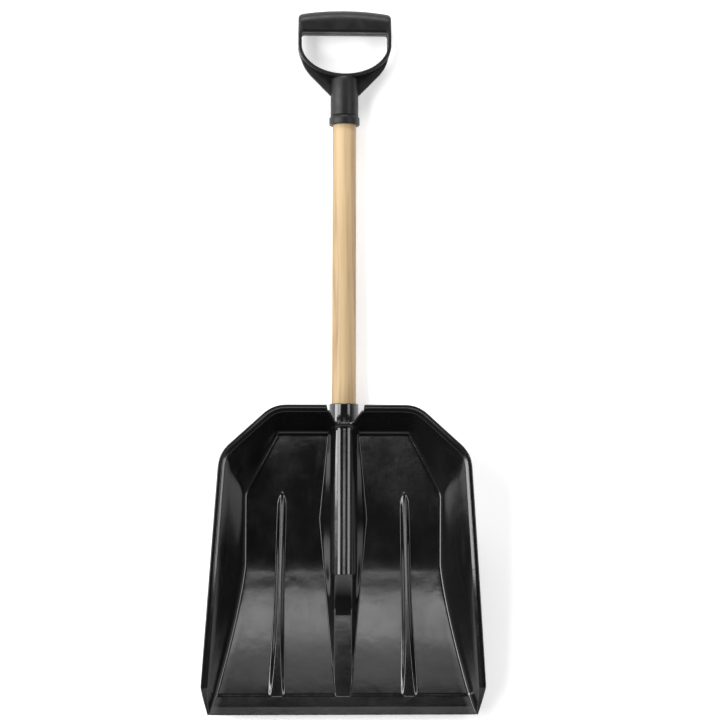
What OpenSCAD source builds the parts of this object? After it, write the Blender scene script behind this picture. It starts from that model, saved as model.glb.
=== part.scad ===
// Grain scoop shovel, lying on its back with the open side of the blade up.
// The blade points to -Y and the grip to +Y.
// v is a distance from the front edge of the blade towards the grip.
// h is a height above the axis of the shaft where it passes over the belly.

/* [Overall] */
// Length from the front edge of the blade to the top of the grip
overall_l = 990; // [900:1:1200]
// Width of the blade across its rim at the front tips
blade_w = 394; // [340:1:480]

/* [Blade rim] */
// Distance from the front edge to the inner rim line of the back wall
rim_rear_v = 418; // [400:1:440]
// Distance from the front edge to the front tips of the rim
rim_tip_v = 40; // [20:1:60]
// Narrowing of each side of the rim from its tip to its rear corner
side_taper = 24; // [10:1:40]
// Width of each diagonal corner of the rim, across the blade
corner_run_x = 68; // [40:1:90]
// Length of each diagonal corner of the rim, along the blade
corner_run_v = 61; // [50:1:90]
// Rounding length of the corners of the rim
rim_round = 16; // [5:1:32]
// Height of the rim at the back wall
rim_rear_h = 72; // [60:1:90]
// Height of the rim at its front tips
rim_tip_h = 22; // [15:1:40]
// Bend of the falling rim line, 1 for a straight line
rim_curve = 1.4; // [1:0.1:2]
// Width of the flange that stands out from the rim
flange_w = 10; // [6:0.5:14]
// Thickness of the flange
flange_t = 2.8; // [2:0.1:4]
// Height of the edge turned down from the flange
flange_lip = 6; // [5:0.5:10]

/* [Blade floor] */
// Thickness of the moulded skin
skin = 3; // [2:0.1:4]
// Thickness at the front edge
edge_t = 1.2; // [0.8:0.1:2]
// Length of the bevel at the front edge
bevel_v = 11; // [8:1:20]
// Length that the back wall leans back, from the floor to the rim
rear_wall_run = 26; // [15:1:40]
// Width from the rim's rear corner inward to the floor's
rear_corner_run_x = 2; // [0:1:25]
// Length from the rim corner forward to the floor corner
corner_wall_run_v = 52; // [30:1:60]
// Width from the rim corner inward to the floor corner
corner_wall_run_x = 24.5; // [15:0.5:35]
// Widening of each side of the floor towards the front
floor_flare = 47; // [30:1:50]
// Bend of that widening, 1 for a straight side
flare_curve = 1.3; // [1:0.1:2]
// Rounding length of the corners of the floor
floor_round = 8; // [2:1:12]
// Distance from the front edge to the rear of the flat belly
belly_rear_v = 208; // [196:1:240]
// Distance from the front edge to the front of the flat belly
belly_front_v = 180; // [150:1:190]
// Depth of the belly's floor below the shaft axis
belly_depth = 22; // [20:0.5:30]
// Depth of the floor at the back wall
fold_depth = 8; // [4:0.5:12]
// Depth of the front edge
lip_depth = 4; // [0:0.5:8]

/* [Blade ribs] */
// Distance from the centre line to each side rib
rib_x = 88; // [70:1:110]
// Outward lean of each side rib towards the front
rib_splay = 5; // [0:1:10]
// Distance from the front edge to the rear tip of the side ribs
rib_rear_v = 308; // [280:1:340]
// Distance from the front edge to the front end of all ribs
rib_front_v = 25; // [20:1:40]
// Width of a side rib behind its middle
rib_w = 12; // [10:0.5:18]
// Width of a side rib at the front
rib_front_w = 28; // [20:0.5:36]
// Width of the centre rib's foot at its widest place
spine_w = 64; // [60:1:80]
// Distance from the front edge to that place
spine_wide_v = 272; // [250:1:300]
// Narrowing of each side of the centre rib per length, to the rear
spine_rear_taper = 0.095; // [0.05:0.005:0.12]
// Narrowing of each side of the centre rib per length, to the front
spine_front_taper = 0.086; // [0.05:0.002:0.1]
// Width of the flat top of the centre rib
spine_top_w = 24; // [16:1:30]
// Distance from the front edge to the start of the flat top
spine_flat_v = 137; // [110:1:150]
// Radius of the small nubs on the front edge
nub_r = 1.2; // [0.8:0.1:2]
// Distance between the nubs
nub_pitch = 66; // [40:1:80]

/* [Socket and shaft] */
// Diameter of the shaft at the blade
shaft_blade_d = 34.5; // [30:0.5:38]
// Diameter of the shaft at the grip
shaft_grip_d = 33; // [28:0.5:38]
// Gap between the shaft and what holds it, all round
fit_gap = 0.15; // [0.05:0.05:0.5]
// Thickness of the blade socket's wall
socket_wall = 3.1; // [2.5:0.1:4]
// Distance from the front edge to the closed end of the socket
socket_front_v = 195; // [190:1:215]
// Distance from the front edge to the mouth of the socket
socket_rear_v = 432; // [425:1:450]
// Thickness of the closed end of the socket
socket_floor = 6; // [3:0.5:10]
// Width of the notch in the back wall at the top of the socket
notch_low_w = 28; // [20:1:36]
// Width of the notch in the back wall at the rim
notch_top_w = 46; // [38:1:60]

/* [Grip] */
// Width of the grip across its arms
grip_w = 131.6; // [110:0.1:160]
// Thickness of an arm of the grip
arm_t = 5; // [4:0.1:8]
// Step from the bar's depth in to the arms', on each side
arm_step = 1; // [0.5:0.5:3]
// Depth of the arms and the bar of the grip
grip_depth = 32; // [26:1:38]
// Thickness of the bar at its middle
bar_h = 33; // [24:1:36]
// Width of the flat along the bar's top
bar_flat_w = 4; // [2:1:10]
// Rounding of the bar's lower edges
bar_low_r = 5; // [3:0.5:8]
// Fall of the bar's top from its middle to its ends
bar_crown = 5.5; // [2:0.5:8]
// Length of the finger opening
opening_l = 59; // [50:1:70]
// Depth of the round bottom of the opening
opening_bottom = 41; // [30:1:48]
// Length from the opening to where the web meets the socket
web_l = 31; // [25:1:45]
// Width of the web where it leaves the arms
web_w = 112; // [90:1:130]
// Height of that place above the bottom of the opening
web_rise = 7.5; // [4:0.5:15]
// Thickness of the web below the opening
web_t = 7; // [5:0.5:12]
// Thickness of the grip socket's wall
grip_wall = 3; // [2.5:0.1:4]
// Length of the grip socket below the opening
grip_socket_l = 59; // [50:1:75]
// Depth of the shaft in the grip socket
grip_hold_l = 50; // [40:1:55]
// Length of the collar
collar_l = 13; // [8:1:20]
// Height that the collar stands out of the grip socket
collar_lip = 1.9; // [1:0.1:3]

/* [Screws] */
// Diameter of the screws
screw_d = 4.8; // [4:0.1:6]
// Diameter of the screw heads
screw_head_d = 9; // [7:0.1:11]
// Length of the screws
screw_l = 20; // [14:1:24]
// Gap round the screws
screw_gap = 0.1; // [0.05:0.05:0.3]
// Distance from the socket's mouth to the first blade screw
screw_rear = 45; // [30:1:60]
// Distance between the two blade screws
screw_pitch = 55; // [30:1:70]
// Distance from the collar to the grip screw
grip_screw_in = 22.5; // [12:0.5:35]
// Depth of the screw heads below the round of the sockets
screw_sink = 0.4; // [0:0.1:0.8]

/* [Hidden] */
$fn = 72;
// Small overshoot of a cut past the face that it opens
over = 1;
// Number of steps in a rounded corner
corner_steps = 4;
// Part of its height by which the cavity runs on above the rim
cavity_rise = 0.3;
// Length by which the cavity runs on past the front edge
cavity_run = 12;
// Height of the skirt left at the front ends of the side walls
front_skirt = 3;
// Height to which the flange shrinks at the front ends of the rim
front_roll = 1.6;
// Parts of that height by which the flange's levels stand out there, bottom to top
roll_out = [1 / 6, 1 / 4, 1 / 3, 1 / 2];
// Parts of that height by which the same levels lie below the rim
roll_low = [0.8, 0.6, 0.4];
// Width of a rib's crest as a part of its foot
crest_share = 0.45;
// Height of a rib's front end above the floor
rib_end_rise = 1;
// Step from the socket in to what is moulded round its front end
nose_step = 0.3;
// Number of nubs, and the place of the first from the centre line
nub_count = 4;
nub_first = -nub_pitch + 2;

shaft_blade_r = shaft_blade_d / 2;
shaft_grip_r = shaft_grip_d / 2;
socket_r = shaft_blade_r + fit_gap + socket_wall;
grip_socket_r = shaft_grip_r + fit_gap + grip_wall;
collar_r = grip_socket_r + collar_lip;
shoulder_h = socket_r / 3;
axis_z = belly_depth + skin;
belly_v = (belly_front_v + belly_rear_v) / 2;

// The grip is measured down from its top
opening_top_v = overall_l - bar_h;
opening_low_v = opening_top_v - opening_l;
collar_v = opening_low_v - grip_socket_l;
shaft_front_v = socket_front_v + socket_floor;
shaft_rear_v = collar_v + grip_hold_l;
// The shaft leans until the belly and the collar both touch the ground
rest_tilt = atan((axis_z - collar_r) / (collar_v - belly_v));

rim_tip_x = blade_w / 2 - flange_w;
rim_corner_x = rim_tip_x - side_taper;
rim_rear_x = rim_corner_x - corner_run_x;
rim_corner_v = rim_rear_v - corner_run_v;
floor_rear_v = rim_rear_v - rear_wall_run;
floor_rear_x = rim_rear_x - rear_corner_run_x;
floor_corner_x = rim_corner_x - corner_wall_run_x;
floor_corner_v = rim_corner_v - corner_wall_run_v;
lip_rise = belly_depth - lip_depth;
rise_r = (belly_front_v * belly_front_v + lip_rise * lip_rise) / (2 * lip_rise);

function mix(a, b, t) = a + (b - a) * t;
function unit(p) = p / norm(p);
function reverse(list) = [for (i = [len(list) - 1:-1:0]) list[i]];
function mirrored(list) = [for (p = list) [-p[0], p[1]]];

// Height of the floor's inner face
function floor_h(v) =
    v > belly_rear_v
        ? mix(-belly_depth, -fold_depth, (v - belly_rear_v) / (floor_rear_v - belly_rear_v))
    : v < belly_front_v
        ? -belly_depth + rise_r - sqrt(pow(rise_r, 2) - pow(belly_front_v - v, 2))
    : -belly_depth;

// Height of the floor's outer face, which runs thin at the front edge
function under_h(v) = floor_h(v) - mix(edge_t, skin, min(1, max(0, v) / bevel_v));

// Height of the rim
function rim_h(v) =
    v > rim_tip_v
        ? rim_rear_h - (rim_rear_h - rim_tip_h)
            * pow(max(0, rim_rear_v - v) / (rim_rear_v - rim_tip_v), rim_curve)
    : mix(front_skirt - lip_depth, rim_tip_h, max(0, v) / rim_tip_v);

function floor_x(v) =
    floor_corner_x + floor_flare * pow(max(0, belly_rear_v - v) / belly_rear_v, flare_curve);

// Corner b between a and c, rounded from a length r before it to r after it
function rounded(a, b, c, r) = let (p = b + r * unit(a - b), q = b + r * unit(c - b))
    [for (i = [0:corner_steps]) let (t = i / corner_steps) mix(mix(p, b, t), mix(b, q, t), t)];

// Point b of an outline, moved out by d square to the sides that meet there
function moved(a, b, c, d) =
    let (m = unit(b - a), n = unit(c - b), p = [-m[1], m[0]], q = [-n[1], n[0]])
    b + d * (p + q) / (1 + p * q);

// The right half of an outline, rear to front, moved out by a distance for each point
function outset(side, far) = [for (i = [0:len(side) - 1])
    let (before = i > 0 ? side[i - 1] : [-side[0][0], side[0][1]])
    i < len(side) - 1 ? moved(before, side[i], side[i + 1], far[i]) : side[i] + [far[i], 0]];

// Places along the blade where the floor and the rim have a point
floor_vs = [belly_rear_v, belly_front_v, for (i = [1:4]) mix(belly_front_v, rib_front_v, i / 4)];
rim_vs = [for (i = [1:len(floor_vs)]) mix(rim_corner_v, rim_tip_v, i / len(floor_vs))];

floor_side = concat(
    rounded([0, floor_rear_v], [floor_rear_x, floor_rear_v], [floor_corner_x, floor_corner_v], floor_round),
    rounded([floor_rear_x, floor_rear_v], [floor_corner_x, floor_corner_v],
        [floor_corner_x, belly_rear_v], floor_round),
    [for (v = floor_vs) [floor_x(v), v]],
    [[floor_x(0), 0]]);

rim_side = concat(
    rounded([0, rim_rear_v], [rim_rear_x, rim_rear_v], [rim_corner_x, rim_corner_v], rim_round),
    rounded([rim_rear_x, rim_rear_v], [rim_corner_x, rim_corner_v], [rim_tip_x, rim_tip_v], rim_round),
    [for (v = rim_vs) [mix(rim_tip_x, rim_corner_x, (v - rim_tip_v) / (rim_corner_v - rim_tip_v)), v]],
    [[floor_x(0) + front_skirt, 0]]);

// A place [x, v] at height h
function place(p, h) = [p[0], p[1] - overall_l / 2, h + axis_z];

// Solid through outlines from bottom to top, each given as its right half, rear to front
module form(levels) {
    n = len(levels[0]);
    m = 2 * n;
    top = (len(levels) - 1) * m;
    polyhedron(
        points = [for (side = levels)
                  for (p = concat(side, [for (q = reverse(side)) [-q[0], q[1], q[2]]])) p],
        faces = concat(
            [for (s = [0:m:top - 1]) for (i = [0:m - 1]) let (j = (i + 1) % m)
                i < n ? [s + i, s + j, s + m + i] : [s + i, s + j, s + m + j]],
            [for (s = [0:m:top - 1]) for (i = [0:m - 1]) let (j = (i + 1) % m)
                i < n ? [s + j, s + m + j, s + m + i] : [s + i, s + m + j, s + m + i]],
            [for (i = [0:n - 2]) [m - 1 - i, m - 2 - i, i + 1, i]],
            [for (i = [0:n - 2]) [top + i, top + i + 1, top + m - 2 - i, top + m - 1 - i]]));
}

// Solid through a row of sections, each clockwise as seen along the row
module sweep(rows) {
    k = len(rows[0]);
    last = len(rows) - 1;
    polyhedron(
        points = [for (row = rows) for (p = row) p],
        faces = concat(
            [[for (a = [0:k - 1]) a]],
            [[for (a = [k - 1:-1:0]) last * k + a]],
            [for (s = [0:last - 1]) for (a = [0:k - 1])
                [s * k + a, (s + 1) * k + a, (s + 1) * k + (a + 1) % k]],
            [for (s = [0:last - 1]) for (a = [0:k - 1])
                [s * k + a, (s + 1) * k + (a + 1) % k, s * k + (a + 1) % k]]));
}

// Puts what is drawn along the shaft, with v along Y, on the leaning axis
module on_axis() {
    translate([0, belly_v - overall_l / 2, axis_z])
        rotate([-rest_tilt, 0, 0])
            translate([0, -belly_v, 0])
                children();
}

// Round bar along the axis
module rod(v_from, v_to, r_from, r_to) {
    translate([0, v_from, 0])
        rotate([-90, 0, 0])
            cylinder(h = v_to - v_from, r1 = r_from, r2 = r_to);
}

// Space above the floor and between the walls, run on past the front and the rim
module cavity() {
    low = concat(floor_side, [[floor_x(0), -cavity_run]]);
    high = concat(rim_side, [[floor_x(0) + front_skirt, -cavity_run]]);
    form([[for (p = low) place(p, floor_h(p[1]))],
        [for (i = [0:len(high) - 1])
            let (rise = rim_h(high[i][1]) - floor_h(low[i][1]))
            place(mix(high[i], low[i], -cavity_rise), rim_h(high[i][1]) + cavity_rise * rise)]]);
}

// One level of the tray's outer form: the rim moved out and lowered, less so along its front ends
function rim_level(far, far_front, low, low_front) =
    let (parts = [for (p = rim_side) min(1, p[1] / rim_tip_v)],
        side = outset(rim_side, [for (part = parts) mix(far_front, far, part)]))
    [for (i = [0:len(side) - 1])
        place(side[i], rim_h(rim_side[i][1]) - mix(low_front, low, parts[i]))];

// Tray without its ribs, with a flange along the rim and the flange's edge turned down
module tray() {
    under = outset(floor_side, [for (p = floor_side) skin]);
    difference() {
        form([[for (p = under) place(p, under_h(p[1]))],
            rim_level(skin, skin, flange_t, front_roll),
            rim_level(flange_w - flange_t, skin + front_roll * roll_out[0], flange_t,
                front_roll * roll_low[0]),
            rim_level(flange_w - flange_t, skin + front_roll * roll_out[1], flange_lip,
                front_roll * roll_low[1]),
            rim_level(flange_w, skin + front_roll * roll_out[2], flange_lip, front_roll * roll_low[2]),
            rim_level(flange_w, skin + front_roll * roll_out[3], 0, 0)]);
        cavity();
    }
}

// Half width of the side ribs' foot
function rib_half(v) = mix(rib_w, rib_front_w, pow(max(0, belly_rear_v - v) / belly_rear_v, 2)) / 2;

// Height of the ribs' straight crest
function crest_h(v) = mix(floor_h(rib_front_v) + rib_end_rise, floor_h(rib_rear_v) + rib_end_rise,
    (v - rib_front_v) / (rib_rear_v - rib_front_v));

rib_vs = [for (i = [0:6]) mix(rib_front_v, rib_rear_v - rib_w, i / 6)];

// One side rib, with its foot and crest drawn in by inset
module side_rib(inset, foot_drop) {
    sweep(concat(
        [for (v = rib_vs) rib_section(v, rib_half(v) - inset, inset, foot_drop)],
        [rib_section(rib_rear_v - inset, rib_w * crest_share / 2, inset + rib_end_rise, foot_drop)]));
}

function rib_section(v, half, lowered, foot_drop) =
    let (x = rib_x + rib_splay * (belly_rear_v - v) / belly_rear_v,
        top = max(crest_h(v) - lowered, floor_h(v) - foot_drop + skin / 4))
    [place([x - half, v], floor_h(v) - foot_drop), place([x - half * crest_share, v], top),
        place([x + half * crest_share, v], top), place([x + half, v], floor_h(v) - foot_drop)];

// Half width of the centre rib's foot
function spine_half(v) =
    spine_w / 2 - abs(v - spine_wide_v) * (v > spine_wide_v ? spine_rear_taper : spine_front_taper);

// Section of the centre rib: foot, and a top of the given half width and height
function spine_section(v, inset, top_half, top, foot_drop) =
    [place([-spine_half(v) + inset, v], floor_h(v) - foot_drop),
        place([-top_half + inset, v], top - inset), place([top_half - inset, v], top - inset),
        place([spine_half(v) - inset, v], floor_h(v) - foot_drop)];

// Shoulders that carry the socket on the floor, as far as the back wall
module shoulders() {
    shoulder_x = sqrt(pow(socket_r, 2) - pow(shoulder_h, 2)) - nose_step;
    stations = [socket_front_v + skin / 2, belly_rear_v, spine_wide_v, mix(spine_wide_v, floor_rear_v, 0.5),
        floor_rear_v + skin];
    sweep([for (v = stations)
        spine_section(v, 0, min(shoulder_x, spine_half(v) - over), shoulder_h, skin / 2)]);
}

// Flat-topped rib from the closed end of the socket to the front strip
module spine(inset, foot_drop) {
    stations = [rib_front_v, mix(rib_front_v, spine_flat_v, 0.5), spine_flat_v, socket_front_v + 2 * skin];
    sweep([for (v = stations)
        spine_section(v, inset, min(spine_top_w / 2, spine_half(v) - over), crest_h(v), foot_drop)]);
}

// Slope from the crest of the socket down to the flat rib
module socket_nose() {
    nose_r = socket_r - nose_step;
    hull() {
        on_axis() rod(socket_front_v, socket_front_v + skin, nose_r, nose_r, $fn = 32);
        translate([0, spine_flat_v - overall_l / 2, crest_h(spine_flat_v) + axis_z - skin])
            translate([-spine_top_w / 2, 0, 0])
                cube([spine_top_w, skin, skin]);
    }
}

// Opening in the back wall above the socket
module notch() {
    top_h = rim_rear_h + over;
    translate([0, rim_rear_v + flange_w + over - overall_l / 2, axis_z])
        rotate([90, 0, 0])
            linear_extrude(height = rear_wall_run + flange_w + skin + 2 * over)
                polygon([[-notch_low_w / 2, shoulder_h], [notch_low_w / 2, shoulder_h],
                    [notch_top_w / 2, top_h], [-notch_top_w / 2, top_h]]);
}

module nubs() {
    for (i = [0:nub_count - 1])
        translate(place([nub_first + i * nub_pitch, nub_r / 2], -lip_depth - edge_t))
            cylinder(h = edge_t, r = nub_r);
}

// Countersunk screw from the back of a socket of radius r, grown by gap
module screw(v, r, gap) {
    shank = screw_d / 2 + gap;
    head = screw_head_d / 2 + gap;
    head_h = (screw_head_d - screw_d) / 2;
    out = gap > 0 ? over : 0;
    translate([0, v, -r])
        rotate_extrude()
            polygon([[0, -out], [head, -out], if (gap > 0) [head, 0], [shank, head_h],
                [shank, screw_l + gap], [0, screw_l + gap]]);
}

module blade_screws(gap) {
    for (i = [0:1])
        screw(socket_rear_v - screw_rear - i * screw_pitch, socket_r - screw_sink, gap);
}

module handle_screw(gap) {
    screw(collar_v + grip_screw_in, grip_socket_r - screw_sink, gap);
}

// The shaft's own shape, grown all round by gap
module shaft_form(gap) {
    rod(shaft_front_v, shaft_rear_v, shaft_blade_r + gap, shaft_grip_r + gap);
}

// Everything moulded round the socket, less the ribs' hollow backs
module blade_body() {
    difference() {
        tray();
        notch();
    }
    shoulders();
    spine(0, skin / 2);
    socket_nose();
    for (side = [0, 1]) mirror([side, 0, 0]) side_rib(0, skin / 2);
    nubs();
}

// Tube that holds the shaft, closed at its front end
module blade_socket() {
    on_axis() difference() {
        rod(socket_front_v + over, socket_rear_v, socket_r, socket_r);
        shaft_form(fit_gap);
        blade_screws(screw_gap);
    }
}

module scoop_blade() {
    core_r = socket_r - socket_wall / 2;
    color("#1d1d1f") {
        difference() {
            blade_body();
            spine(skin, 2 * skin);
            for (side = [0, 1]) mirror([side, 0, 0]) side_rib(skin, 2 * skin);
            on_axis() rod(shaft_front_v - socket_floor / 2, socket_rear_v + over, core_r, core_r);
        }
        blade_socket();
    }
}

module shaft() {
    color("#cdae83")
    on_axis() difference() {
        shaft_form(0);
        blade_screws(screw_gap);
        handle_screw(screw_gap);
    }
}

module grip_collar() {
    chamfer = collar_lip;
    inner = mix(shaft_blade_r, shaft_grip_r, (collar_v - shaft_front_v) / (shaft_rear_v - shaft_front_v));
    color("#2b2b2b")
    on_axis()
        translate([0, collar_v - collar_l, 0])
            rotate([-90, 0, 0])
                rotate_extrude()
                    polygon([[inner + fit_gap, 0], [collar_r, 0], [collar_r, collar_l - chamfer],
                        [grip_socket_r, collar_l], [inner + fit_gap, collar_l]]);
}

// Lower half of an ellipse with half axes a and b, its centre at v
function bowl(a, b, v) = [for (t = [180:15:360]) [a * cos(t), v + b * sin(t)]];

module grip_outline() {
    crown_r = (pow(grip_w / 2, 2) + pow(bar_crown, 2)) / (2 * bar_crown);
    bowl_v = opening_low_v + opening_bottom;
    intersection() {
        polygon(concat(bowl(grip_w / 2, opening_bottom + arm_t, bowl_v),
            [[grip_w / 2, overall_l], [-grip_w / 2, overall_l]]));
        translate([0, overall_l - crown_r]) circle(r = crown_r, $fn = 360);
    }
}

module opening_outline() {
    a = grip_w / 2 - arm_t;
    polygon(concat(bowl(a, opening_bottom, opening_low_v + opening_bottom),
        [[a, opening_top_v], [-a, opening_top_v]]));
}

// Side outline of the bar: round on top, nearly flat below
module bar_profile() {
    top_r = (grip_depth - bar_flat_w) / 2;
    hull() {
        for (side = [-1, 1]) {
            translate([side * (grip_depth / 2 - top_r), overall_l - top_r]) circle(r = top_r, $fn = 32);
            translate([side * (grip_depth / 2 - bar_low_r), opening_top_v + bar_low_r])
                circle(r = bar_low_r, $fn = 32);
        }
    }
}

// Bar, arms and the band round the bottom of the opening
module grip_loop() {
    intersection() {
        linear_extrude(height = grip_depth, center = true)
            difference() {
                grip_outline();
                opening_outline();
            }
        union() {
            rotate([0, -90, 0])
                linear_extrude(height = grip_w + over, center = true)
                    bar_profile();
            translate([0, opening_top_v - opening_l / 2 - arm_t, 0])
                cube([grip_w + over, opening_l + 4 * arm_t, grip_depth - 2 * arm_step], center = true);
        }
    }
}

module web() {
    meet_v = opening_low_v - web_l;
    shoulder_v = opening_low_v + web_rise;
    arm_v = opening_low_v + opening_bottom;
    linear_extrude(height = web_t, center = true)
        difference() {
            polygon([[-grip_socket_r, meet_v], [grip_socket_r, meet_v], [web_w / 2, shoulder_v],
                [grip_w / 2 - arm_t / 2, arm_v], [-grip_w / 2 + arm_t / 2, arm_v],
                [-web_w / 2, shoulder_v]]);
            opening_outline();
        }
}

module d_grip() {
    core_r = grip_socket_r - grip_wall / 2;
    socket_top_v = opening_low_v - arm_t / 2;
    color("#232323") on_axis() {
        difference() {
            union() {
                grip_loop();
                web();
            }
            rod(collar_v - over, socket_top_v, core_r, core_r);
        }
        difference() {
            difference() {
                rod(collar_v, socket_top_v, grip_socket_r, grip_socket_r);
                shaft_form(fit_gap);
            }
            handle_screw(screw_gap);
        }
    }
}

module socket_screws() {
    color("silver") on_axis() blade_screws(0);
}

module grip_screw() {
    color("silver") on_axis() handle_screw(0);
}

scoop_blade();
shaft();
grip_collar();
d_grip();
socket_screws();
grip_screw();
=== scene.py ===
"""Looks of the grain scoop shovel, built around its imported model."""

import math

import bmesh
import bpy
import numpy as np
from mathutils import Matrix, Vector

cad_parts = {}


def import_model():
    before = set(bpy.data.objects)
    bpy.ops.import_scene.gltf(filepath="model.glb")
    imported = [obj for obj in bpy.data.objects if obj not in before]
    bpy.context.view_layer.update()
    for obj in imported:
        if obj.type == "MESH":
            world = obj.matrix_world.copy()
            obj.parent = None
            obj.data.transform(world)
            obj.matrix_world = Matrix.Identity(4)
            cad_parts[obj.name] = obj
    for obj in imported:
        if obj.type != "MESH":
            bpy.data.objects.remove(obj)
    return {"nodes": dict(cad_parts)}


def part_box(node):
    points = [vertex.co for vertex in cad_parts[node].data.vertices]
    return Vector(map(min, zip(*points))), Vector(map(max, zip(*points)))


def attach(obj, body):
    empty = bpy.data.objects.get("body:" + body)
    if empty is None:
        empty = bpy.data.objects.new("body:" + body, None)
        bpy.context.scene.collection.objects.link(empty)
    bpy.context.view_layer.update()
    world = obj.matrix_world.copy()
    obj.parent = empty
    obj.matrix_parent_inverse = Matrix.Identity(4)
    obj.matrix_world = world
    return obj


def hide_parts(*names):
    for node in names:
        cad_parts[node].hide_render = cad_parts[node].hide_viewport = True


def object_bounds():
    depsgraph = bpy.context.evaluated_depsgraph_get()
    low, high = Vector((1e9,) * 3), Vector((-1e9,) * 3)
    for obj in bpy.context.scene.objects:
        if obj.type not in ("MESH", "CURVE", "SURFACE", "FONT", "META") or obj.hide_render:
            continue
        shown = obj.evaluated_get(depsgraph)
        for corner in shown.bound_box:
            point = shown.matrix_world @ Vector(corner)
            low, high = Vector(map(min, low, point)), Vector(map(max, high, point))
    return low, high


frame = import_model()
cad_low, cad_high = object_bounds()

# Sizes are in millimetres, as in the part's source. A place on the blade is (x, v, h):
# v runs from the front edge to the grip, h is the height above the shaft's axis at the belly.
MM = 0.001
FLANGE_W, SKIN, EDGE_T, BEVEL_V = 10.0, 3.0, 1.2, 11.0
RIM_REAR_V, RIM_TIP_V, RIM_REAR_H, RIM_TIP_H, RIM_CURVE = 418.0, 40.0, 72.0, 22.0, 1.4
SIDE_TAPER, CORNER_RUN_X, CORNER_RUN_V, RIM_ROUND, FRONT_SKIRT = 24.0, 68.0, 61.0, 14.0, 1.2
REAR_WALL_RUN, REAR_CORNER_X, CORNER_WALL_V, CORNER_WALL_X = 26.0, 2.0, 52.0, 24.5
FLOOR_FLARE, FLARE_CURVE = 47.0, 1.3
BELLY_REAR, BELLY_FRONT, BELLY_DEPTH, FOLD_DEPTH, LIP_DEPTH = 208.0, 180.0, 22.0, 8.0, 4.0
RIB_X, RIB_SPLAY, RIB_REAR, RIB_FRONT, RIB_W, RIB_FRONT_W = 88.0, 5.0, 308.0, 25.0, 12.0, 28.0
SPINE_W, SPINE_WIDE_V, SPINE_FLAT_V, SPINE_TOP_W = 64.0, 272.0, 137.0, 24.0
SOCKET_FRONT, SOCKET_REAR, SOCKET_R, BORE_R = 195.0, 432.0, 20.5, 17.45
NUB_R, NUB_PITCH = 1.2, 66.0
GRIP_DEPTH, BAR_H, BAR_CROWN, OPENING_L, OPENING_BOWL, ARM_T = 32.0, 33.0, 5.5, 59.0, 41.0, 5.0
WEB_L, WEB_T, SCREW_HEAD_D, SCREW_PITCH = 31.0, 7.0, 9.0, 55.0

WEB_TURN_X, CORNER_R = 49.0, 7.0
BEVEL_DROP, STRIP_STEP, RIB_ROUND = 0.35, 3.4, 0.1
SPINE_COLUMNS = 24
CAMERA_ANGLE, CAMERA_ROLL = 20.46, 0.1

blade_low, blade_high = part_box("scoop_blade")
collar_low, collar_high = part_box("grip_collar")
grip_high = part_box("d_grip")[1]
FRONT_Y = blade_low.y / MM + NUB_R / 2
AXIS_Z = blade_high.z / MM - RIM_REAR_H
TIP_X = blade_high.x / MM - FLANGE_W
COLLAR_R = collar_high.x / MM
GRIP_HALF = grip_high.x / MM
SOCKET_TOP_R = COLLAR_R - 1.9
COLLAR_LOW = round(collar_low.y / MM - FRONT_Y)
COLLAR_V = round(collar_high.y / MM - FRONT_Y)
GRIP_TOP = grip_high.y / MM - FRONT_Y - 0.01
OPENING_TOP = GRIP_TOP - BAR_H
OPENING_LOW = OPENING_TOP - OPENING_L
BELLY_V = (BELLY_REAR + BELLY_FRONT) / 2
TILT = math.atan((AXIS_Z - COLLAR_R) / (COLLAR_V - BELLY_V))
FLOOR_REAR = RIM_REAR_V - REAR_WALL_RUN
RIM_CORNER = (TIP_X - SIDE_TAPER, RIM_REAR_V - CORNER_RUN_V)
RIM_REAR_X = RIM_CORNER[0] - CORNER_RUN_X
REAR_X = RIM_REAR_X - REAR_CORNER_X
FLOOR_CORNER = (RIM_CORNER[0] - CORNER_WALL_X, RIM_CORNER[1] - CORNER_WALL_V)
RISE = BELLY_DEPTH - LIP_DEPTH
RISE_R = (BELLY_FRONT**2 + RISE**2) / (2 * RISE)


# ---------------------------------------------------------------- shape helpers


def mix(a, b, t):
    return a + (b - a) * t


def ramp(u, w):
    """u held between 0 and 1, with both corners rounded over w."""

    def area(t):
        return np.where(t < 0, 0.0, np.where(t < 1, t * t / 2, t - 0.5))

    u = np.asarray(u, float)
    return (area(u + w) - area(u - w)) / (2 * w)


def soft_max(a, b, k):
    g = np.clip(0.5 + (a - b) / (2 * k), 0, 1)
    return mix(b, a, g) + k * g * (1 - g)


def unit(p):
    return p / max(1e-9, np.linalg.norm(p))


def bezier(p, q, r, t):
    return mix(mix(p, q, t), mix(q, r, t), t)


def world(p):
    """A place (x, v, h) in metres, in the row frame."""
    return (p[0] * MM, (p[1] + FRONT_Y) * MM, (p[2] + AXIS_Z) * MM)


def leaning(p):
    """The same for a place given along the shaft, which leans a little."""
    x, v, h = p
    c, s = math.cos(TILT), math.sin(TILT)
    return world((x, BELLY_V + (v - BELLY_V) * c + h * s, h * c - (v - BELLY_V) * s))


def new_object(name, bm, material, smooth=50):
    bmesh.ops.recalc_face_normals(bm, faces=bm.faces)
    mesh = bpy.data.meshes.new(name)
    bm.to_mesh(mesh)
    bm.free()
    mesh.polygons.foreach_set("use_smooth", [True] * len(mesh.polygons))
    mesh.set_sharp_from_angle(angle=math.radians(smooth))
    if material:
        mesh.materials.append(material)
    obj = bpy.data.objects.new(name, mesh)
    bpy.context.scene.collection.objects.link(obj)
    return obj


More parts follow.
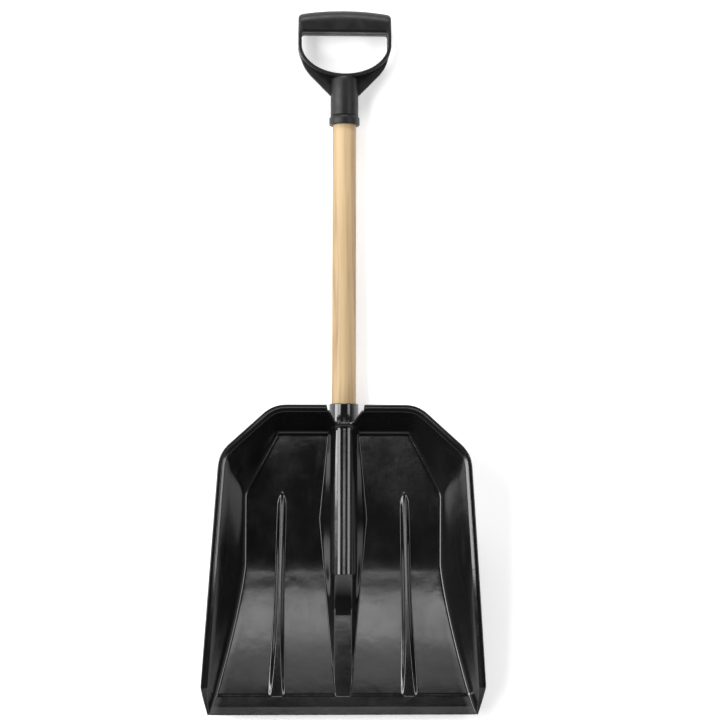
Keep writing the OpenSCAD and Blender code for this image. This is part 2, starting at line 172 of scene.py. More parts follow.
def mirror_half(bm):
    """Adds the left half to a right half that ends on x = 0."""
    right = bm.verts[:] + bm.edges[:] + bm.faces[:]
    copy = bmesh.ops.duplicate(bm, geom=right)["geom"]
    for e in copy:
        if isinstance(e, bmesh.types.BMVert):
            e.co.x = -e.co.x
    bmesh.ops.reverse_faces(bm, faces=[e for e in copy if isinstance(e, bmesh.types.BMFace)])
    middle = [v for v in bm.verts if abs(v.co.x) < 1e-6]
    bmesh.ops.remove_doubles(bm, verts=middle, dist=1e-6)


def grid_faces(bm, rows, closed=False):
    """Quads between rows of vertices, each row closed on itself if asked."""
    for a, b in zip(rows, rows[1:]):
        n = len(a)
        for i in range(n if closed else n - 1):
            j = (i + 1) % n
            ring = [a[i], a[j], b[j], b[i]]
            kept = [v for k, v in enumerate(ring) if v is not ring[k - 1]]
            if len(kept) > 2:
                bm.faces.new(kept)


def lathe(bm, outline, segments=96, close=False):
    """Turns an outline of (v, r) about the leaning shaft axis."""
    rows = []
    for v, r in outline:
        if r < 1e-6:
            rows.append([bm.verts.new(leaning((0, v, 0)))] * segments)
            continue
        turn = [2 * math.pi * i / segments for i in range(segments)]
        rows.append([bm.verts.new(leaning((r * math.cos(a), v, r * math.sin(a)))) for a in turn])
    grid_faces(bm, rows + rows[:1] if close else rows, closed=True)


def joined(name, objects):
    """One object out of several."""
    bm = bmesh.new()
    for o in objects:
        bm.from_mesh(o.data)
    material = objects[0].data.materials[0]
    for o in objects:
        bpy.data.objects.remove(o)
    return new_object(name, bm, material)


def drilled(obj, places, head_r, depth, radius):
    """Cuts countersunk recesses into obj from below, at places along the shaft."""
    for v in places:
        bm = bmesh.new()
        bmesh.ops.create_cone(bm, cap_ends=True, segments=40, radius1=head_r, radius2=head_r * 0.55,
                              depth=depth)
        cutter = new_object("cutter", bm, None)
        cutter.data.transform(Matrix.Scale(MM, 4))
        cutter.location = leaning((0, v, -radius + depth / 2 - 0.9))
        cut = obj.modifiers.new("cut", "BOOLEAN")
        cut.operation, cut.solver, cut.object = "DIFFERENCE", "EXACT", cutter
        bpy.context.view_layer.update()
        made = bpy.data.meshes.new_from_object(obj.evaluated_get(bpy.context.evaluated_depsgraph_get()))
        obj.modifiers.clear()
        obj.data = made
        bpy.data.objects.remove(cutter)
    return obj


# ---------------------------------------------------------------- blade


def floor_h(v):
    """Height of the floor: a flat belly, a slope up to the rear and a round rise in front."""
    past = np.asarray(v, float) - BELLY_REAR
    rise = np.where(past < -12, 0, np.where(past > 12, past, (past + 12) ** 2 / 48))
    slope = (BELLY_DEPTH - FOLD_DEPTH) / (FLOOR_REAR - BELLY_REAR)
    front = RISE_R - np.sqrt(RISE_R**2 - np.maximum(0, BELLY_FRONT - v) ** 2)
    return -BELLY_DEPTH + rise * slope + front


def under_h(v):
    return floor_h(v) - mix(EDGE_T, SKIN, np.clip(np.asarray(v) / BEVEL_V, 0, 1))


def floor_x(v):
    return FLOOR_CORNER[0] + FLOOR_FLARE * (max(0, BELLY_REAR - v) / BELLY_REAR) ** FLARE_CURVE


def inset_at(v):
    """Distance from the floor's edge at which the fold to the wall starts."""
    return mix(2.0, 5.0, min(1, v / RIM_TIP_V))


def floor_end(v):
    """Half width of the floor up to its fold."""
    side = floor_x(v) - inset_at(v)
    run = (REAR_X - FLOOR_CORNER[0]) / (FLOOR_REAR - FLOOR_CORNER[1])
    diagonal = FLOOR_CORNER[0] + run * (v - FLOOR_CORNER[1]) - 5 * math.hypot(1, run)
    return float(-soft_max(-side, -diagonal, 2.0))


def rim_h(v):
    fall = (np.maximum(0, RIM_REAR_V - v) / (RIM_REAR_V - RIM_TIP_V)) ** RIM_CURVE
    front = mix(FRONT_SKIRT - LIP_DEPTH, RIM_TIP_H, np.maximum(0, v) / RIM_TIP_V)
    return np.where(v > RIM_TIP_V, RIM_REAR_H - (RIM_REAR_H - RIM_TIP_H) * fall, front)


def crest_h(v):
    ends = floor_h(RIB_FRONT) + 1, floor_h(RIB_REAR) + 1
    return mix(ends[0], ends[1], (v - RIB_FRONT) / (RIB_REAR - RIB_FRONT))


def rib_middle(v):
    return RIB_X + RIB_SPLAY * (BELLY_REAR - v) / BELLY_REAR


def rib_half(v):
    wide = mix(RIB_W, RIB_FRONT_W, (max(0, BELLY_REAR - v) / BELLY_REAR) ** 2) / 2
    return wide * math.sqrt(np.clip((RIB_REAR - v) / 14, 0.02, 1))


def spine_half(v):
    """Half width of the centre rib's foot, widest at SPINE_WIDE_V."""
    return SPINE_W / 2 - abs(v - SPINE_WIDE_V) * (0.095 if v > SPINE_WIDE_V else 0.086)


def axis_h(v):
    return -math.tan(TILT) * (v - BELLY_V)


def shoulder_x(v):
    """Half width at which the round of the socket passes into its flank."""
    a, d = spine_half(v), float(floor_h(v)) - axis_h(v)
    turn = math.atan2(d, a) + math.acos(min(1, SOCKET_R / math.hypot(a, d)))
    return SOCKET_R * math.cos(turn), axis_h(v) + SOCKET_R * math.sin(turn)


def flat_half(v):
    return min(SPINE_TOP_W / 2, spine_half(v) - 1)


def spine_h(x, v):
    """Top of the centre rib: flat in front, round over the socket, a slope between."""
    ground, foot = float(floor_h(v)), spine_half(v)
    flat = ground + (float(crest_h(v)) - ground) * ramp((foot - x) / (foot - flat_half(v)), 0.13)
    part = min(1, max(0, (v - SPINE_FLAT_V) / (SOCKET_FRONT - SPINE_FLAT_V)))
    if part == 0:
        return flat
    if v < SOCKET_FRONT:
        x = x * spine_half(SOCKET_FRONT) / foot
        v = SOCKET_FRONT
    foot, (tx, th) = spine_half(v), shoulder_x(v)
    arc = axis_h(v) + np.sqrt(np.maximum(0, SOCKET_R**2 - np.minimum(x, tx) ** 2))
    flank = th + (ground - th) * np.clip((x - tx) / max(0.8, foot - tx), 0, 4)
    return mix(flat, soft_max(np.where(x < tx, arc, flank), ground, 3.5), part**1.7)


def top_h(x, v):
    """Height of the floor's inner face with its ribs, for an array x at one v."""
    ground = float(floor_h(v))
    strip = float(ramp((RIB_FRONT + STRIP_STEP - v) / 3.0, 0.2))
    high = np.full(len(x), ground + strip)
    if v >= RIB_FRONT:
        half = rib_half(v)
        off = np.abs(x - rib_middle(v))
        rib = ramp((half - off) / min(4.5, half * 0.6), 0.2) * (1 - RIB_ROUND * (off / half) ** 2)
        fade = float(ramp((RIB_REAR - v) / 8, 0.3))
        high = np.maximum(high, ground + max(0, float(crest_h(v)) - ground) * rib * fade)
        high = np.maximum(high, spine_h(x, v))
    return high - BEVEL_DROP * max(0, 1 - v / BEVEL_V)


def hollow_h(x, v):
    """Height of the outer face, with the ribs hollow from behind."""
    low = np.full(len(x), float(under_h(v)))
    if not RIB_FRONT + SKIN < v < RIB_REAR - RIB_W:
        return low
    rise = max(0, float(crest_h(v) - floor_h(v)))
    start = float(ramp((v - RIB_FRONT - SKIN) / 8, 0.2))
    half = rib_half(v) - SKIN
    rib = ramp((half - np.abs(x - rib_middle(v))) / max(0.5, half * 0.55), 0.15)
    foot, flat = spine_half(v) - SKIN, flat_half(v) - SKIN
    spine = ramp((foot - x) / max(1, foot - flat), 0.13) * float(ramp((SOCKET_FRONT + 5 - v) / 4, 0.2))
    return low + rise * start * np.maximum(rib if half > 0.5 else 0, spine)


def stations(low, high, step, keys):
    """Places from low to high, close together near each key (place, nearness)."""
    places = {k: None for k in [low, high] + [k for k, _ in keys]}
    for k, near in keys:
        for d in (-3, -2, -1, 1, 2, 3):
            places[k + d * near] = None
    kept = sorted(p for p in places if low <= p <= high)
    filled = []
    for a, b in zip(kept, kept[1:]):
        filled += list(np.linspace(a, b, max(1, math.ceil((b - a) / step)) + 1)[:-1])
    filled.append(high)
    return [p for i, p in enumerate(filled) if i == 0 or p - filled[i - 1] > 0.25]


def column_places(v):
    """Places across the right half of the floor, close together on the ribs."""
    part = min(1, max(0, (v - SPINE_FLAT_V) / (SOCKET_FRONT - SPINE_FLAT_V)))
    foot = spine_half(v)
    behind = max(v, SOCKET_FRONT)
    top = mix(flat_half(v), shoulder_x(behind)[0] * foot / spine_half(behind), part)
    end, half, mid = floor_end(v), rib_half(min(v, RIB_REAR - 14)), rib_middle(v)
    edge = foot + 5
    late = float(ramp((v - RIB_REAR) / (FLOOR_REAR - RIB_REAR), 0.1))
    inner = mix(mid - half - 4, mix(edge, end, 0.35), late)
    outer = mix(mid + half + 4, mix(edge, end, 0.7), late)
    arc = [top * math.sin(1.3 * t) / math.sin(1.3) for t in np.linspace(0, 1, 13)]
    parts = [(top, foot, 6), (foot, edge, 6), (edge, inner, 6), (inner, outer, 32), (outer, end, 8)]
    return np.array(arc + [x for a, b, n in parts for x in np.linspace(a, b, n + 1)[1:]])


def rim_line():
    """The rim from the middle of the back wall to the front, a point per millimetre, and its normals."""
    corners = np.array([(0, RIM_REAR_V), (RIM_REAR_X, RIM_REAR_V), RIM_CORNER, (TIP_X, RIM_TIP_V),
                        (floor_x(0) + FRONT_SKIRT, 0.0)])
    full = np.vstack([[-60, RIM_REAR_V], corners, corners[-1] + (corners[-1] - corners[-2])])
    run = np.concatenate([[0], np.cumsum(np.linalg.norm(np.diff(full, axis=0), axis=1))]) - 60
    s = np.arange(run[0], run[-1], 1.0)
    fine = np.stack([np.interp(s, run, full[:, 0]), np.interp(s, run, full[:, 1])], 1)
    total = np.cumsum(np.vstack([[0, 0], fine]), 0)
    line = []
    for i, at in enumerate(s):
        near = int(mix(RIM_ROUND, 6, min(1, max(0, (at - run[4] + 60) / 50))))
        a, b = max(0, i - near), min(len(s) - 1, i + near)
        line.append((total[b + 1] - total[a]) / (b + 1 - a))
    line = np.array(line)
    along = np.gradient(line, axis=0)
    normal = np.stack([-along[:, 1], along[:, 0]], 1)
    normal /= np.linalg.norm(normal, axis=1)[:, None]
    return s, line, normal, run[2:6]


RIM_S, RIM_P, RIM_N, RIM_MARKS = rim_line()


def on_rim(s):
    p = [np.interp(s, RIM_S, RIM_P[:, k]) for k in (0, 1)]
    n = [np.interp(s, RIM_S, RIM_N[:, k]) for k in (0, 1)]
    return np.array(p), unit(np.array(n))


def wall_v(h):
    """Place of the leaning back wall's face at a height."""
    return FLOOR_REAR + REAR_WALL_RUN * (h + FOLD_DEPTH) / (RIM_REAR_H + FOLD_DEPTH)


def notch_line():
    """Edge of the notch over the socket, from its bottom to the rim."""
    low, side, top, end = (np.array(p, float) for p in ((0, 25), (12.4, 25), (22.2, 72), (24.5, 72)))
    t = np.linspace(0, 1, 9)[:, None]
    a, b = side + unit(low - side) * 7, side + unit(top - side) * 9
    c = top + unit(side - top) * 3.2
    path = np.vstack([low, bezier(a, side, b, t), bezier(c, top, end, t)])
    run = np.concatenate([[0], np.cumsum(np.linalg.norm(np.diff(path, axis=0), axis=1))])
    return run / run[-1], path


NOTCH_U, NOTCH_P = notch_line()
NOTCH_X = NOTCH_P[-1][0]
# The rim's section as (out, up) from its inner line: with the flange, and without it
RIM_FULL = [(-0.1, -2.9), (0.1, -2.2), (0.7, -1.8), (1.4, -1.55), (3.6, -0.75), (4.3, -0.3), (4.9, 0),
            (5.6, 0), (8.6, 0), (9.4, -0.15), (9.85, -0.6), (10, -1.2), (10, -5.4), (9.7, -6),
            (7.5, -6), (7.2, -5.6), (7.2, -3.4), (6.6, -2.8), (3.8, -2.8), (3.1, -3.6), (3, -4.5)]
RIM_PLAIN = [(0, -0.9), (0.05, -0.5), (0.3, -0.15), (0.6, 0), (1, 0), (1.3, 0), (1.6, 0), (1.9, 0),
             (2.2, 0), (2.5, -0.1), (2.8, -0.3), (2.95, -0.7), (3, -1.2), (3, -1.5), (3, -1.8),
             (3, -2.1), (3, -2.4), (3, -2.7), (3, -3), (3, -3.4), (3, -4)]


def wall_section(top, corner, floor_corner, under, rim, rim_n, floor_n, flange, thin=1.0):
    """Points from the floor's edge up the wall, round the rim and down to the outer face."""
    run = np.linalg.norm(rim - corner)
    w = unit(rim - corner)
    reach = min(5.0, 0.4 * run)
    start = corner + w * reach
    out = np.array([rim_n[0], rim_n[1], 0])
    up = mix(w, np.array([0, 0, 1.0]), flange)
    short = min(1.0, 0.12 * run)
    edge = []
    for (a, b), (c, d) in zip(RIM_FULL, RIM_PLAIN):
        o, u = mix(c * thin, a, flange), mix(d * short, b + 2 * flange, flange)
        edge.append(rim + out * o + up * u)
    points = [bezier(top, corner, start, t) for t in (0.2, 0.4, 0.6, 0.8, 1)]
    points += [mix(start, edge[0], t) for t in (0.25, 0.5, 0.75)] + edge
    foot = floor_corner + SKIN * thin * np.array([floor_n[0], floor_n[1], 0])
    foot[2] = under[2] + 0.3
    fold = mix(foot, edge[-1], min(0.3, 8 / max(1, np.linalg.norm(edge[-1] - foot))))
    points += [mix(edge[-1], fold, t) for t in (0.33, 0.66)]
    return points + [bezier(fold, foot, under, t) for t in (0, 0.25, 0.5, 0.75)]


def blade_half(bm):
    """Right half of the tray: floor, underside, and a wall section at each place along the floor's edge."""
    vs = stations(0, FLOOR_REAR - 5, 5.0, [
        (0, 0.8), (BEVEL_V, 0.5), (RIB_FRONT, 0.6), (RIB_FRONT + STRIP_STEP, 0.6), (SPINE_FLAT_V, 0.5),
        (SOCKET_FRONT, 0.5), (SOCKET_FRONT + 4, 1.0), (FLOOR_CORNER[1], 2.0), (RIB_REAR - 3, 2.0),
        (FLOOR_REAR - 7, 1.0)])
    xs = [column_places(v) for v in vs]
    last_h = top_h(xs[-1], vs[-1])
    lean = REAR_WALL_RUN * (last_h - floor_h(vs[-1])) / (RIM_REAR_H + FOLD_DEPTH)
    lean = np.where(np.arange(len(lean)) < SPINE_COLUMNS, lean, 0)
    top, under = [], []
    for v, x in zip(vs, xs):
        moved = v + lean * float(ramp((v - 345) / (vs[-1] - 345), 0.2))
        high = top_h(x, v)
        top.append([np.array(p) for p in zip(x, moved, high)])
        under.append([np.array(p) for p in zip(x, np.full(len(x), v), hollow_h(x, v))])
    n, last = len(xs[0]) - 1, len(vs) - 1
    path = [(last, j) for j in range(n + 1)] + [(i, n) for i in range(last - 1, -1, -1)]
    flat = np.array([under[i][j][:2] for i, j in path])
    along = np.gradient(flat, axis=0)
    sections = []
    for k, (i, j) in enumerate(path):
        normal = unit(np.array([-along[k][1], along[k][0]]))
        p, q = top[i][j], under[i][j]
        inset = inset_at(vs[i])
        if i == last and j < n:
            normal = np.array([0.0, 1.0])
        step = np.array([normal[0], normal[1], 0]) * inset
        corner, floor_corner = p + step, np.array([q[0], q[1], p[2]]) + step
        if i == last and j < SPINE_COLUMNS:
            u = j / SPINE_COLUMNS
            x, h = (np.interp(u, NOTCH_U, NOTCH_P[:, c]) for c in (0, 1))
            sections.append(wall_section(p, corner, floor_corner, q, np.array([x, wall_v(h), h]),
                                         (0.0, 1.0), (0.0, 1.0), 0.0))
            continue
        if i == last:
            marks = [xs[-1][SPINE_COLUMNS], xs[-1][SPINE_COLUMNS + 1], xs[-1][n]]
            s = np.interp(p[0], marks, [NOTCH_X, NOTCH_X + 1.2, RIM_MARKS[0]])
            flange = min(1, max(0, (s - NOTCH_X) / 1.2))
        else:
            s = np.interp(-vs[i], [-vs[-1], -FLOOR_CORNER[1], -RIB_FRONT, 0], RIM_MARKS)
            flange = 1.0
        at, rim_n = on_rim(s)
        flange *= float(ramp(at[1] / RIM_TIP_V, 0.08)) if at[1] < 1.3 * RIM_TIP_V else 1.0
        rim = np.array([at[0], at[1], float(rim_h(at[1])) - 2 * flange])
        thin = min(1, 0.4 + 0.6 * at[1] / RIM_TIP_V)
        sections.append(wall_section(p, corner, floor_corner, q, rim, rim_n, normal, flange, thin))

    def verts(points):
        made = []
        for p in points:
            x, y, z = world(p)
            made.append(bm.verts.new((0.0 if abs(p[0]) < 1e-6 else x, y, z)))
        return made

    top_v, under_v = [verts(r) for r in top], [verts(r) for r in under]
    grid_faces(bm, top_v)
    grid_faces(bm, under_v)
    rings = []
    for (i, j), section in zip(path, sections):
        rings.append([top_v[i][j]] + verts(section) + [under_v[i][j]])
    grid_faces(bm, rings)
    grid_faces(bm, [top_v[0], under_v[0]])
    bm.faces.new(rings[-1])


def scoop_blade(material):
    bm = bmesh.new()
    blade_half(bm)
    mirror_half(bm)
    shell = new_object("blade_shell", bm, material)
    bm = bmesh.new()
    inside = SOCKET_R - 0.2
    lathe(bm, [(SOCKET_FRONT + 3, 0), (SOCKET_FRONT + 3, inside), (FLOOR_REAR + 6, inside),
               (FLOOR_REAR + 11, SOCKET_R), (SOCKET_REAR - 1.2, SOCKET_R),
               (SOCKET_REAR - 0.4, SOCKET_R - 0.3), (SOCKET_REAR, SOCKET_R - 1),
               (SOCKET_REAR, BORE_R + 0.5), (SOCKET_REAR - 0.6, BORE_R),
               (SOCKET_FRONT + 6, BORE_R), (SOCKET_FRONT + 6, 0)])
    tube = new_object("blade_tube", bm, material)
    first = SOCKET_REAR - 45
    drilled(tube, [first, first - SCREW_PITCH], SCREW_HEAD_D / 2 + 0.35, 3.0, SOCKET_R)
    bm = bmesh.new()
    for k in range(4):
        x = -NUB_PITCH + 2 + k * NUB_PITCH
        place = Vector(world((x, NUB_R / 2, -LIP_DEPTH - EDGE_T / 2)))
        size = Matrix.Diagonal((NUB_R * MM, NUB_R * MM, EDGE_T * 0.6 * MM, 1))
        bmesh.ops.create_uvsphere(bm, u_segments=16, v_segments=8, radius=1,
                                  matrix=Matrix.Translation(place) @ size)
    nubs = new_object("blade_nubs", bm, material)
    return joined("moulded_blade", [shell, tube, nubs])


# ---------------------------------------------------------------- grip


def ring_stations():
    """Inner and outer edge of the grip's ring, from the bottom of the opening to the bar's middle."""
    a, b, mid = GRIP_HALF - ARM_T, OPENING_BOWL, OPENING_LOW + OPENING_BOWL
    crown_r = (GRIP_HALF**2 + BAR_CROWN**2) / (2 * BAR_CROWN)
    rows = []
    for t in np.linspace(-math.pi / 2, 0, 30):
        rows.append((a * math.cos(t), mid + b * math.sin(t), (a + ARM_T) * math.cos(t),
                     mid + (b + ARM_T) * math.sin(t), 0.0))
    for v in np.linspace(mid, OPENING_TOP - 4, 4)[1:]:
        rows.append((a, v, GRIP_HALF, v, 0.0))

    def crown(x):
        return GRIP_TOP - crown_r + math.sqrt(crown_r**2 - x * x)

    inner = [np.array(p, float) for p in ((a, OPENING_TOP - 4), (a, OPENING_TOP), (a - 4, OPENING_TOP))]
    r = CORNER_R
    outline = [np.array((GRIP_HALF, v)) for v in np.linspace(OPENING_TOP - 4, crown(GRIP_HALF) - r, 8)]
    end = np.array((GRIP_HALF, crown(GRIP_HALF)))
    outline += [bezier(outline[-1], end, np.array((GRIP_HALF - r, crown(GRIP_HALF - r))), t)
                for t in np.linspace(0, 1, 9)[1:]]
    for k, o in enumerate(outline[1:], 1):
        t = k / (len(outline) - 1)
        p = bezier(*inner, t)
        rows.append((p[0], p[1], o[0], o[1], float(ramp(t * 1.25, 0.2))))
    for x in np.linspace(GRIP_HALF - r, 0, 20)[1:]:
        rows.append((x * (a - 4) / (GRIP_HALF - r), OPENING_TOP, x, crown(x), 1.0))
    return rows


def ring_section(width, bar):
    """Section of the ring as (out, h): rounded on the outside of the bar, a thin strap at the arms."""
    deep = mix(GRIP_DEPTH / 2 - 1, GRIP_DEPTH / 2, bar)
    inner = mix(1.4, 5.0, bar)
    outer = min(mix(1.6, 15.5, bar), width - inner - 0.3, deep - 0.5)
    seam = 0.3 * bar
    quarter = np.linspace(0, math.pi / 2, 8)
    half = [(-seam, 0), (-seam, 0.25), (0, 0.55), (0, (deep - inner) / 2)]
    half += [(inner * (1 - math.cos(t)), deep - inner * (1 - math.sin(t))) for t in quarter]
    half += [(mix(inner, width - outer, t), deep) for t in (0.33, 0.67)]
    half += [(width - outer * (1 - math.cos(t)), deep - outer * (1 - math.sin(t))) for t in quarter[::-1]]
    half += [(width, (deep - outer) / 2), (width, 0)]
    return half + [(o, -h) for o, h in half[-2:0:-1]]


def grip_ring(bm):
    """Sweeps the section round the opening, from its bottom to the bar's middle, and mirrors it."""
    rings = []
    for ix, iv, ox, ov, bar in ring_stations():
        a, b = np.array((ix, iv)), np.array((ox, ov))
        e = unit(b - a)
        points = [(*(a + e * o), h) for o, h in ring_section(np.linalg.norm(b - a), bar)]
        rings.append([bm.verts.new(leaning((0.0 if ox < 1e-6 else p[0], p[1], p[2]))) for p in points])
    grid_faces(bm, rings, closed=True)
    mirror_half(bm)


def grip_web(material):
    """Flat web between the ring and the socket, with its free edges rounded over."""
    bm = bmesh.new()
    a, b, mid = GRIP_HALF - ARM_T / 2, OPENING_BOWL + ARM_T / 2, OPENING_LOW + OPENING_BOWL
    meet = OPENING_LOW - WEB_L
    bowl = [(a * math.cos(t), mid + b * math.sin(t)) for t in np.linspace(-math.pi / 2, 0, 28)]
    first, last = np.array((a + 0.6, mid)), np.array((SOCKET_TOP_R - 1, meet))
    turn = np.array((WEB_TURN_X, OPENING_LOW))
    knee = turn + (turn - last) * (first[0] - turn[0]) / (turn[0] - last[0])
    bend = [tuple(bezier(first, knee, turn, t)) for t in np.linspace(0.04, 1, 14)]
    outline = bowl + bend + [tuple(last), (0.0, meet)]
    face = bm.faces.new([bm.verts.new((x, v, -WEB_T / 2)) for x, v in outline])
    side = bmesh.ops.extrude_face_region(bm, geom=[face])["geom"]
    for e in side:
        if isinstance(e, bmesh.types.BMVert):
            e.co.z = WEB_T / 2
    near = [e for e in bm.edges if all(v.co.x > 1 for v in e.verts)
            and abs(e.verts[0].co.z - e.verts[1].co.z) < 1e-6]
    bmesh.ops.bevel(bm, geom=near, offset=1.2, segments=3, affect="EDGES", profile=0.5)
    for v in bm.verts:
        v.co = Vector(leaning(v.co))
    middle = [f for f in bm.faces if all(abs(v.co.x) < 1e-6 for v in f.verts)]
    bmesh.ops.delete(bm, geom=middle, context="FACES_ONLY")
    mirror_half(bm)
    return new_object("grip_web", bm, material, 35)


def moulded_grip(material):
    bm = bmesh.new()
    grip_ring(bm)
    ring = new_object("grip_ring", bm, material)
    web = grip_web(material)
    bm = bmesh.new()
    r, top = SOCKET_TOP_R, OPENING_LOW - ARM_T / 2
    lathe(bm, [(COLLAR_V, r - 2.9), (COLLAR_V, r - 0.7), (COLLAR_V + 0.5, r - 0.2), (COLLAR_V + 1.4, r),
               (top - 5, r), (top - 2, r - 0.8), (top - 0.6, r - 2.6), (top, r - 5.5), (top, 0)])
    lathe(bm, [(COLLAR_V, r - 2.9), (COLLAR_V + 50, r - 3), (COLLAR_V + 50, 0)])
    bmesh.ops.remove_doubles(bm, verts=bm.verts, dist=1e-6)
    socket = new_object("grip_socket", bm, material)
    drilled(socket, [COLLAR_V + 22.5], SCREW_HEAD_D / 2 + 0.35, 3.0, r)
    bm = bmesh.new()
    bmesh.ops.create_uvsphere(bm, u_segments=16, v_segments=8, radius=1.3 * MM,
                              matrix=Matrix.Translation(leaning((0, OPENING_TOP + 0.3, 0))))
    gate = new_object("grip_gate", bm, material)
    return joined("moulded_grip", [ring, web, socket, gate])


def collar(material):
    """The ring at the lower end of the grip's socket, with a seam groove at its top."""
    bm = bmesh.new()
    low, high, r = COLLAR_LOW, COLLAR_V, COLLAR_R
    inner = SOCKET_TOP_R - 2.9
    lathe(bm, [(low, inner + 0.4), (low, r - 0.8), (low + 0.3, r - 0.25), (low + 0.9, r),
               (high - 3.4, r), (high - 2.6, r - 0.25), (high - 0.5, SOCKET_TOP_R),
               (high, SOCKET_TOP_R - 0.6), (high, inner), (low + 0.4, inner)], close=True)
    return new_object("collar_ring", bm, material)


# ---------------------------------------------------------------- materials


class Nodes:
    """A material's nodes, with short calls to add and link them."""

    def __init__(self, name):
        self.material = bpy.data.materials.new(name)
        self.material.use_nodes = True
        self.tree = self.material.node_tree
        self.shader = self.tree.nodes["Principled BSDF"]
        self.place = self.add("ShaderNodeTexCoord").outputs["Object"]

    def add(self, kind, **values):
        node = self.tree.nodes.new(kind)
        for k, v in values.items():
            if hasattr(node, k):
                setattr(node, k, v)
            else:
                node.inputs[k].default_value = v
        return node

    def link(self, a, b):
        self.tree.links.new(a, b)

    def noise(self, scale, stretch=(1, 1, 1), detail=3.0, distortion=0.0):
        mapping = self.add("ShaderNodeMapping", Scale=stretch)
        self.link(self.place, mapping.inputs["Vector"])
        node = self.add("ShaderNodeTexNoise", Scale=scale, Detail=detail, Distortion=distortion)
        self.link(mapping.outputs["Vector"], node.inputs["Vector"])
        return node.outputs["Fac"]

    def spread(self, source, low, high, start=0.3, end=0.7):
        node = self.add("ShaderNodeMapRange")
        for k, v in (("From Min", start), ("From Max", end), ("To Min", low), ("To Max", high)):
            node.inputs[k].default_value = v
        self.link(source, node.inputs["Value"])
        return node.outputs["Result"]

    def colours(self, source, stops):
        node = self.add("ShaderNodeValToRGB")
        elements = node.color_ramp.elements
        while len(elements) < len(stops):
            elements.new(0.5)
        for element, (at, colour) in zip(elements, stops):
            element.position, element.color = at, (*colour, 1)
        self.link(source, node.inputs["Fac"])
        return node.outputs["Color"]

    def add_up(self, a, b):
        node = self.add("ShaderNodeMath", operation="ADD")
        self.link(a, node.inputs[0])
        self.link(b, node.inputs[1])
        return node.outputs[0]

    def bump(self, height, strength, distance, below=None):
        node = self.add("ShaderNodeBump", Strength=strength, Distance=distance)
        self.link(height, node.inputs["Height"])
        if below:
            self.link(below, node.inputs["Normal"])
        return node.outputs["Normal"]

    def to(self, name, source):
        self.link(source, self.shader.inputs[name])


def blade_plastic():
    m = Nodes("glossy_moulded_plastic")
    m.to("Base Color", m.colours(m.noise(9), [(0.3, (0.005, 0.005, 0.0055)), (0.7, (0.009, 0.009, 0.0095))]))
    m.shader.inputs["Specular IOR Level"].default_value = 0.6
    m.shader.inputs["Coat Weight"].default_value = 0.35
    m.shader.inputs["Coat Roughness"].default_value = 0.08
    cloud = m.spread(m.noise(14, detail=6), 0.08, 0.19)
    haze = m.spread(m.noise(30, (2.5, 0.8, 1), 5, 0.8), 0.0, 0.04, 0.45, 0.75)
    m.to("Roughness", m.add_up(cloud, haze))
    wave = m.bump(m.noise(24, detail=3), 0.3, 0.0012)
    m.to("Normal", m.bump(m.noise(420, detail=2), 0.05, 0.0002, wave))
    return m.material


def grip_plastic(name="grained_moulded_plastic"):
    m = Nodes(name)
    m.to("Base Color", m.colours(m.noise(60), [(0.3, (0.003, 0.003, 0.0035)), (0.7, (0.006, 0.006, 0.0065))]))
    m.shader.inputs["Specular IOR Level"].default_value = 0.36
    m.to("Roughness", m.spread(m.noise(90, detail=5), 0.36, 0.5))
    m.to("Normal", m.bump(m.noise(900, detail=3), 0.35, 0.0003))
    return m.material


def shaft_wood():
    m = Nodes("turned_ash_wood")
    grain = m.noise(26, (3.2, 0.12, 3.2), 8, 0.7)
    tone = m.noise(7, (2, 0.35, 2), 3)
    both = m.add_up(m.spread(grain, 0.0, 0.62, 0.25, 0.75), m.spread(tone, 0.0, 0.38, 0.3, 0.7))
    m.to("Base Color", m.colours(both, [(0.28, (0.24, 0.15, 0.07)), (0.48, (0.42, 0.29, 0.15)),
                                         (0.72, (0.52, 0.375, 0.205))]))
    m.to("Roughness", m.spread(grain, 0.5, 0.66))
    pores = m.noise(240, (4, 0.08, 4), 3)
    m.to("Normal", m.bump(pores, 0.2, 0.0004, m.bump(grain, 0.2, 0.0004)))
    return m.material


def screw_steel():
    m = Nodes("zinc_plated_steel")
    m.shader.inputs["Metallic"].default_value = 1.0
    m.to("Base Color", m.colours(m.noise(300), [(0.3, (0.5, 0.5, 0.49)), (0.7, (0.66, 0.66, 0.64))]))
    m.to("Roughness", m.spread(m.noise(500), 0.25, 0.42))
    m.to("Normal", m.bump(m.noise(1500), 0.15, 0.0001))
    return m.material


# ---------------------------------------------------------------- studio


def facing(place, aim):
    """Looks from place to aim, with the grip's end of the shovel upwards."""
    back = (Vector(place) - Vector(aim)).normalized()
    right = Vector((0, 1, 0)).cross(back).normalized()
    turn = Matrix((right, back.cross(right), back)).transposed().to_4x4()
    return Matrix.Translation(place) @ turn


def camera():
    """Looks down on the shovel, slightly from its left."""
    data = bpy.data.cameras.new("camera")
    cam = bpy.data.objects.new("camera", data)
    bpy.context.scene.collection.objects.link(cam)
    middle = (cad_low + cad_high) / 2
    target = Vector((0.0225, middle.y - 0.0011, AXIS_Z * MM))
    cam.location = Vector((-0.095, middle.y - 0.182, AXIS_Z * MM + 2.79))
    roll = Matrix.Rotation(math.radians(CAMERA_ROLL), 4, "Z")
    cam.matrix_world = facing(cam.location, target) @ roll
    data.angle = math.radians(CAMERA_ANGLE)
    data.clip_end = 100
    bpy.context.scene.camera = cam


def area_light(name, place, aim, size, power):
    """A soft box; its second size runs along the shovel."""
    data = bpy.data.lights.new(name, "AREA")
    data.shape, data.size, data.size_y, data.energy = "RECTANGLE", size[0], size[1], power
    light = bpy.data.objects.new(name, data)
    light.matrix_world = facing(place, aim)
    bpy.context.scene.collection.objects.link(light)


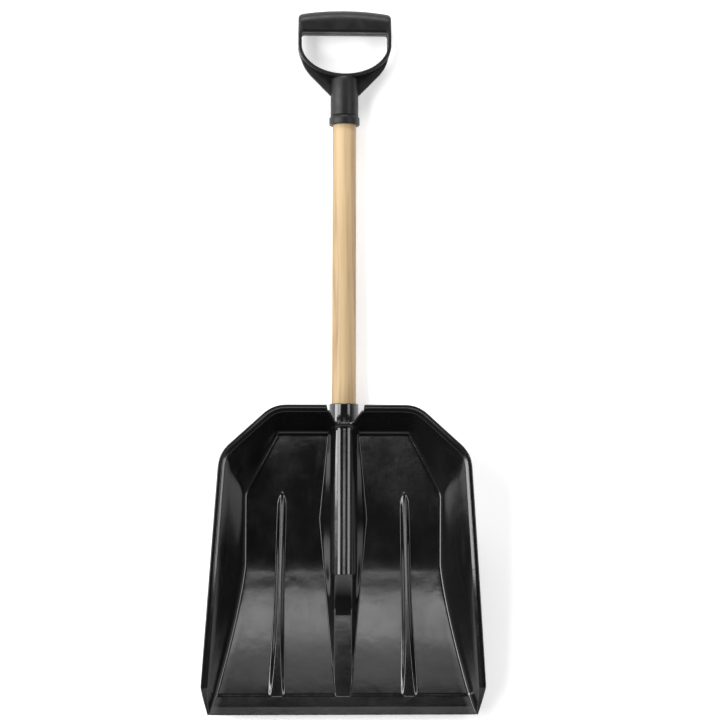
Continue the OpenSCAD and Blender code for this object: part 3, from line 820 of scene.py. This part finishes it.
def studio():
    bm = bmesh.new()
    bmesh.ops.create_grid(bm, x_segments=1, y_segments=1, size=20)
    floor_material = Nodes("pale_floor")
    floor_material.shader.inputs["Base Color"].default_value = (0.88, 0.88, 0.88, 1)
    floor_material.shader.inputs["Roughness"].default_value = 0.9
    floor_material.shader.inputs["Specular IOR Level"].default_value = 0.1
    floor_material.shader.inputs["Emission Color"].default_value = (1, 1, 1, 1)
    floor_material.shader.inputs["Emission Strength"].default_value = 0.35
    floor = new_object("floor", bm, floor_material.material)
    for side in (-1, 1):
        area_light(f"strip_{side + 1}", (1.9 * side, 0.1, 2.4), (0, 0, 0), (0.95, 3.2), 50 - 14 * side)
    for name, y, length, power in (("overhead", -0.255, 0.33, 3.6), ("overhead_rear", 0.08, 0.34, 1.1)):
        area_light(name, (0.1, y, 3.2), (0.1, y, 0), (1.0, length), power)
    area_light("key", (-3.0, 0.6, 1.5), (0, 0, 0), (1.6, 1.6), 70)
    area_light("back", (-0.3, 3.0, 1.9), (0, 0.3, 0), (2.6, 1.0), 80)
    world_nodes()
    bpy.context.scene.view_settings.view_transform = "Standard"


def world_nodes():
    """Pale near the horizon, dark overhead, as in a studio with a black ceiling."""
    w = bpy.data.worlds.new("studio")
    bpy.context.scene.world = w
    w.use_nodes = True
    tree = w.node_tree
    place = tree.nodes.new("ShaderNodeTexCoord")
    split = tree.nodes.new("ShaderNodeSeparateXYZ")
    shade = tree.nodes.new("ShaderNodeValToRGB")
    stops = shade.color_ramp.elements
    stops[0].position, stops[0].color = 0.0, (1.0, 1.0, 1.0, 1)
    stops[1].position, stops[1].color = 0.55, (0.003, 0.003, 0.003, 1)
    tree.links.new(place.outputs["Generated"], split.inputs[0])
    tree.links.new(split.outputs["Z"], shade.inputs["Fac"])
    tree.links.new(shade.outputs["Color"], tree.nodes["Background"].inputs["Color"])
    tree.nodes["Background"].inputs["Strength"].default_value = 1.0


# ---------------------------------------------------------------- the shovel


def own(piece, node):
    """Puts a piece on the one body, in place of its CAD node."""
    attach(piece, "root")
    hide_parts(node)


def repaint(node, material):
    """Gives a CAD node that stays its procedural material."""
    mesh = frame["nodes"][node].data
    mesh.materials.clear()
    mesh.materials.append(material)


camera()
studio()
black, grained = blade_plastic(), grip_plastic()
own(scoop_blade(black), "scoop_blade")
own(moulded_grip(grained), "d_grip")
own(collar(grained), "grip_collar")
repaint("shaft", shaft_wood())
steel = screw_steel()
repaint("socket_screws", steel)
repaint("grip_screw", steel)
